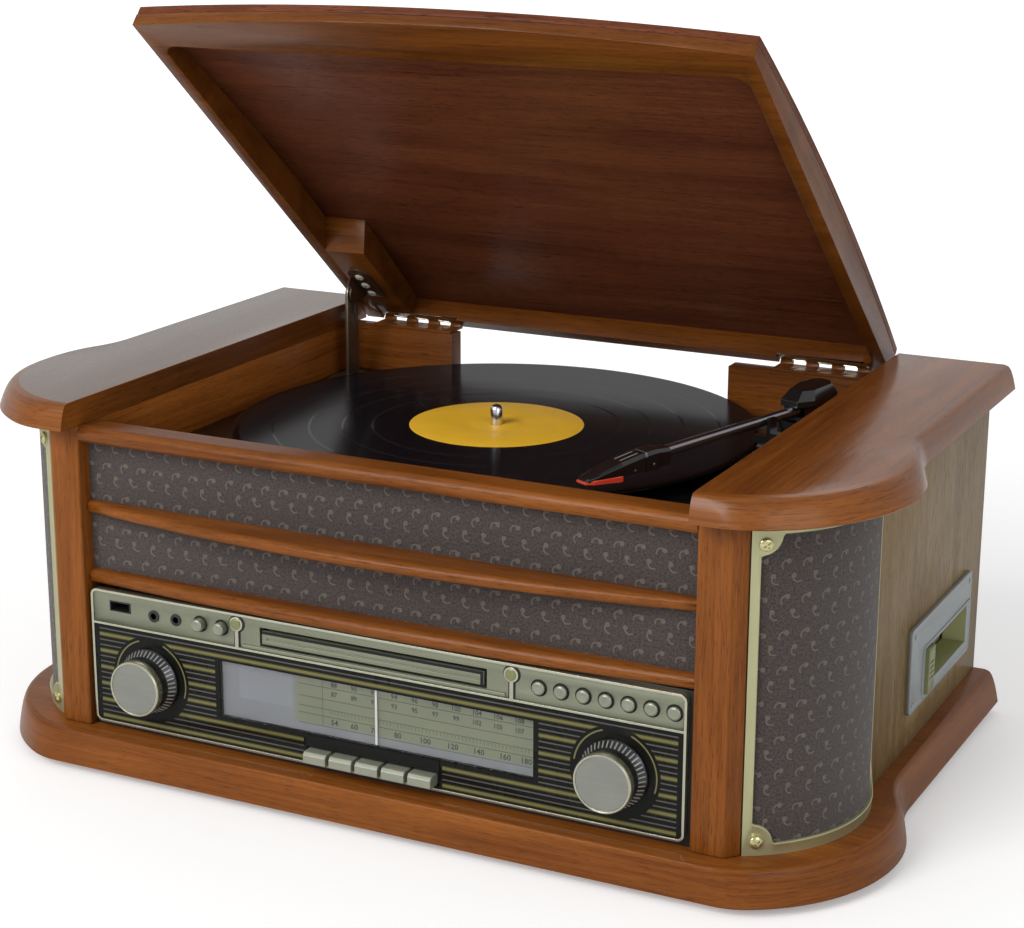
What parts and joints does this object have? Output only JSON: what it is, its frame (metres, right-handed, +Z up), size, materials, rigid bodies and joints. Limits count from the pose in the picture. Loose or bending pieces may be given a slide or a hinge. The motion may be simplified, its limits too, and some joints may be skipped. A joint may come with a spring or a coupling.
{
  "type": "record player",
  "caption": "Wooden tabletop record player with a propped domed lid, dial radio, disc drawer, side cassette slot and cloth-covered rounded speaker corners.",
  "frame": {"origin": "centre of the footprint box, on the surface that the rubber feet stand on", "axes": "+X to the viewer's right along the front, +Y to the back, +Z up"},
  "size_m": [0.528, 0.3366, 0.4209],
  "materials": {
    "stained_wood": "reddish-brown satin lacquer over fine grain",
    "veneer": "matt brown veneer with upright grain",
    "rubber": "matt",
    "grille_cloth": "dark woven grille cloth",
    "gilt_trim": "pale satin gilt",
    "black_plastic": "matt black",
    "chrome": "polished",
    "champagne_metal": "brushed champagne",
    "black_lacquer": "gloss black with gold lines",
    "dial_print": "pale grey printed scale",
    "clear_window": "clear",
    "steel": "turned",
    "silver_plastic": "satin silver",
    "brassy_nickel": "aged nickel",
    "nickel": "satin nickel",
    "platter_black": "satin black",
    "vinyl": "glossy grooved black with an orange paper label",
    "arm_black": "semi-gloss black",
    "stylus_red": "red-orange",
    "knob_metal": "satin face, black knurled skirt",
    "pointer_red": "salmon",
    "olive_plastic": "pale olive gilt",
    "button_metal": "satin champagne"
  },
  "bodies": {
    "cabinet": {"base_plinth": "stained_wood", "feet": "rubber", "side_panels": "veneer", "inner_walls": "stained_wood", "columns": "stained_wood", "wings": "stained_wood", "rear_wall": "stained_wood", "front_rails": "stained_wood", "front_cloth": "grille_cloth", "speaker_cloths": "grille_cloth", "speaker_trims": "gilt_trim", "speaker_drivers": "black_plastic", "fascia_chassis": "black_plastic", "fascia_frame": "chrome", "strip_panel": "champagne_metal", "dial_panel": "black_lacquer", "dial_scale": "dial_print", "dial_window": "clear_window", "front_sockets": "black_plastic", "deck_plate": "black_plastic", "spindle": "steel", "cassette_plate": "silver_plastic", "cabinet_hinge_leaves": "brassy_nickel", "rear_sockets": "black_plastic", "stay_guide": "nickel", "disc_loader": "black_plastic"},
    "lid": {"lid_board": "stained_wood", "lid_rim": "stained_wood", "stay_block": "stained_wood", "stay_bracket": "nickel", "lid_hinge_leaves": "brassy_nickel"},
    "lid_stay": {"lid_stay": "nickel"},
    "turntable": {"platter": "platter_black", "record_disc": "vinyl"},
    "arm_pivot": {"arm_yoke": "arm_black"},
    "tonearm": {"arm_tube": "arm_black", "headshell": "arm_black", "stylus": "stylus_red"},
    "volume_knob": {"volume_knob": "knob_metal"},
    "tuning_knob": {"tuning_knob": "knob_metal"},
    "dial_pointer": {"dial_pointer": "pointer_red"},
    "disc_drawer": {"disc_drawer": "champagne_metal"},
    "cassette_flap": {"cassette_flap": "olive_plastic"},
    "eject_key": {"eject_key": "olive_plastic"},
    "cue_lever": {"cue_lever": "black_plastic"},
    "speed_switch": {"speed_switch": "silver_plastic"},
    "key_1": {"key_1": "silver_plastic"},
    "key_2": {"key_2": "silver_plastic"},
    "key_3": {"key_3": "silver_plastic"},
    "key_4": {"key_4": "silver_plastic"},
    "key_5": {"key_5": "silver_plastic"},
    "button_1": {"button_1": "button_metal"},
    "button_2": {"button_2": "button_metal"},
    "button_3": {"button_3": "button_metal"},
    "button_4": {"button_4": "button_metal"},
    "button_5": {"button_5": "button_metal"},
    "button_6": {"button_6": "button_metal"},
    "button_7": {"button_7": "button_metal"},
    "button_8": {"button_8": "button_metal"},
    "button_9": {"button_9": "button_metal"}
  },
  "joints": [
    {"name": "lid_hinge", "type": "hinge", "parent": "cabinet", "child": "lid", "pos_m": [0, 0.158, 0.2012], "axis": [1, 0, 0], "range_deg": [0, 39.8]},
    {"name": "stay_pivot", "type": "hinge", "parent": "lid", "child": "lid_stay", "pos_m": [-0.166, 0.11715, 0.22201], "axis": [1, 0, 0], "range_deg": [-40, 1]},
    {"name": "platter_spin", "type": "hinge", "parent": "cabinet", "child": "turntable", "pos_m": [-0.0127, 0.0176, 0.175], "axis": [0, 0, -1], "continuous": true},
    {"name": "arm_swing", "type": "hinge", "parent": "cabinet", "child": "arm_pivot", "pos_m": [0.1505, 0.08565, 0.18], "axis": [0, 0, -1], "range_deg": [0, 33]},
    {"name": "arm_tip", "type": "hinge", "parent": "arm_pivot", "child": "tonearm", "pos_m": [0.14657, 0.07326, 0.196], "axis": [0.9532, -0.3024, 0], "range_deg": [-3, 2.4]},
    {"name": "volume_turn", "type": "hinge", "parent": "cabinet", "child": "volume_knob", "pos_m": [-0.1383, -0.16, 0.0584], "axis": [0, 1, 0], "range_deg": [-150, 150]},
    {"name": "tuning_turn", "type": "hinge", "parent": "cabinet", "child": "tuning_knob", "pos_m": [0.1383, -0.16, 0.0584], "axis": [0, 1, 0], "range_deg": [-500, 500]},
    {"name": "pointer_slide", "type": "slide", "parent": "cabinet", "child": "dial_pointer", "axis": [1, 0, 0], "range_m": [-0.0885, 0.0885]},
    {"name": "drawer_slide", "type": "slide", "parent": "cabinet", "child": "disc_drawer", "axis": [0, -1, 0], "range_m": [0, 0.125]},
    {"name": "flap_hinge", "type": "hinge", "parent": "cabinet", "child": "cassette_flap", "pos_m": [0.2251, 0.09, 0.0734], "axis": [0, 1, 0], "range_deg": [0, 80], "stiffness_Nm_per_rad": 0.01},
    {"name": "eject_slide", "type": "slide", "parent": "cabinet", "child": "eject_key", "axis": [-1, 0, 0], "range_m": [0, 0.004], "stiffness_N_per_m": 400},
    {"name": "cue_hinge", "type": "hinge", "parent": "cabinet", "child": "cue_lever", "pos_m": [0.163, 0.05, 0.174], "axis": [-1, 0, 0], "range_deg": [0, 55]},
    {"name": "speed_slide", "type": "slide", "parent": "cabinet", "child": "speed_switch", "axis": [0, 1, 0], "range_m": [-0.006, 0.006]},
    {"name": "key_1_press", "type": "slide", "parent": "cabinet", "child": "key_1", "axis": [0, 1, 0], "range_m": [0, 0.003], "stiffness_N_per_m": 300},
    {"name": "key_2_press", "type": "slide", "parent": "cabinet", "child": "key_2", "axis": [0, 1, 0], "range_m": [0, 0.003], "stiffness_N_per_m": 300},
    {"name": "key_3_press", "type": "slide", "parent": "cabinet", "child": "key_3", "axis": [0, 1, 0], "range_m": [0, 0.003], "stiffness_N_per_m": 300},
    {"name": "key_4_press", "type": "slide", "parent": "cabinet", "child": "key_4", "axis": [0, 1, 0], "range_m": [0, 0.003], "stiffness_N_per_m": 300},
    {"name": "key_5_press", "type": "slide", "parent": "cabinet", "child": "key_5", "axis": [0, 1, 0], "range_m": [0, 0.003], "stiffness_N_per_m": 300},
    {"name": "button_1_press", "type": "slide", "parent": "cabinet", "child": "button_1", "axis": [0, 1, 0], "range_m": [0, 0.0012], "stiffness_N_per_m": 300},
    {"name": "button_2_press", "type": "slide", "parent": "cabinet", "child": "button_2", "axis": [0, 1, 0], "range_m": [0, 0.0012], "stiffness_N_per_m": 300},
    {"name": "button_3_press", "type": "slide", "parent": "cabinet", "child": "button_3", "axis": [0, 1, 0], "range_m": [0, 0.0012], "stiffness_N_per_m": 300},
    {"name": "button_4_press", "type": "slide", "parent": "cabinet", "child": "button_4", "axis": [0, 1, 0], "range_m": [0, 0.0012], "stiffness_N_per_m": 300},
    {"name": "button_5_press", "type": "slide", "parent": "cabinet", "child": "button_5", "axis": [0, 1, 0], "range_m": [0, 0.0012], "stiffness_N_per_m": 300},
    {"name": "button_6_press", "type": "slide", "parent": "cabinet", "child": "button_6", "axis": [0, 1, 0], "range_m": [0, 0.0012], "stiffness_N_per_m": 300},
    {"name": "button_7_press", "type": "slide", "parent": "cabinet", "child": "button_7", "axis": [0, 1, 0], "range_m": [0, 0.0012], "stiffness_N_per_m": 300},
    {"name": "button_8_press", "type": "slide", "parent": "cabinet", "child": "button_8", "axis": [0, 1, 0], "range_m": [0, 0.0012], "stiffness_N_per_m": 300},
    {"name": "button_9_press", "type": "slide", "parent": "cabinet", "child": "button_9", "axis": [0, 1, 0], "range_m": [0, 0.0012], "stiffness_N_per_m": 300}
  ],
  "couplings": [
    {"joint": "stay_pivot", "follows": "lid_hinge", "ratio": -1},
    {"joint": "pointer_slide", "follows": "tuning_turn", "m_per_rad": 0.01}
  ]
}
